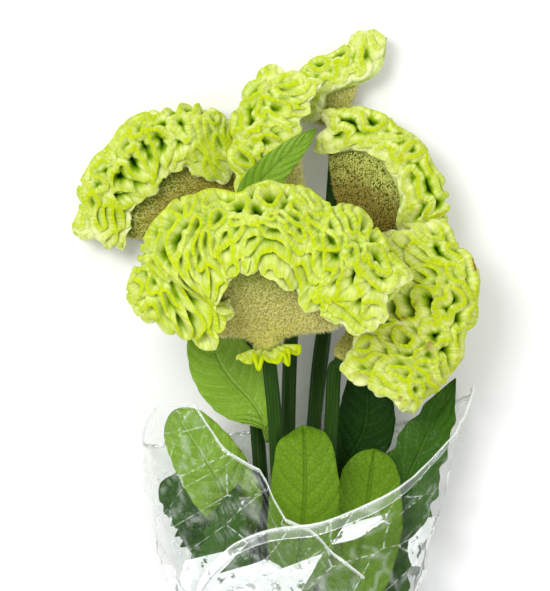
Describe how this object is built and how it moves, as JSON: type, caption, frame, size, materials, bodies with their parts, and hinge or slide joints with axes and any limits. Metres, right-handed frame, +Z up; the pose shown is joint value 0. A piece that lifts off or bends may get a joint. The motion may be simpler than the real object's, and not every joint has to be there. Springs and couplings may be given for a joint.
{
  "type": "wrapped bunch of cockscomb celosia",
  "caption": "Cut bunch of lime-green cockscomb celosia lying on its back in a clear film wrap, with winding crests over tan floret fans, broad leaves and bare stems held by a band.",
  "frame": {"origin": "on the film's flat underside, under the middle stem, at the height of the picture's lower edge", "axes": "+Y from the cut stem ends to the flower heads (up in the picture), +X to the picture's right, +Z up from the table towards the picture's viewer"},
  "size_m": [0.2048, 0.4788, 0.1314],
  "materials": {
    "crest_lime": "velvety, lime green with yellow rims",
    "florets_tan": "fine dry bristles, tan",
    "florets_brown": "fine dry bristles, olive brown",
    "stem_green": "satin, ribbed lengthwise",
    "leaf_green": "satin, veined",
    "leaf_dark": "glossy, veined",
    "film_clear": "clear, creased",
    "band_tan": "matte"
  },
  "bodies": {
    "root": {"front_crest": "crest_lime", "right_crest": "crest_lime", "left_crest": "crest_lime", "middle_crest": "crest_lime", "far_right_crest": "crest_lime", "top_crest": "crest_lime", "side_crest": "crest_lime", "front_florets": "florets_tan", "right_florets": "florets_tan", "middle_florets": "florets_tan", "top_florets": "florets_tan", "left_florets": "florets_brown", "far_right_florets": "florets_brown", "front_stem": "stem_green", "right_stem": "stem_green", "left_stem": "stem_green", "middle_stem": "stem_green", "far_right_stem": "stem_green", "top_stem": "stem_green", "left_tall_leaf": "leaf_green", "centre_leaf": "leaf_green", "centre_right_leaf": "leaf_green", "left_upper_leaf": "leaf_green", "centre_left_leaf": "leaf_green", "small_top_leaf": "leaf_green", "right_tall_leaf": "leaf_dark", "right_shaded_leaf": "leaf_dark", "left_lower_leaf": "leaf_dark", "low_left_leaf": "leaf_dark", "film_wrap": "film_clear", "stem_band": "band_tan"}
  },
  "joints": []
}
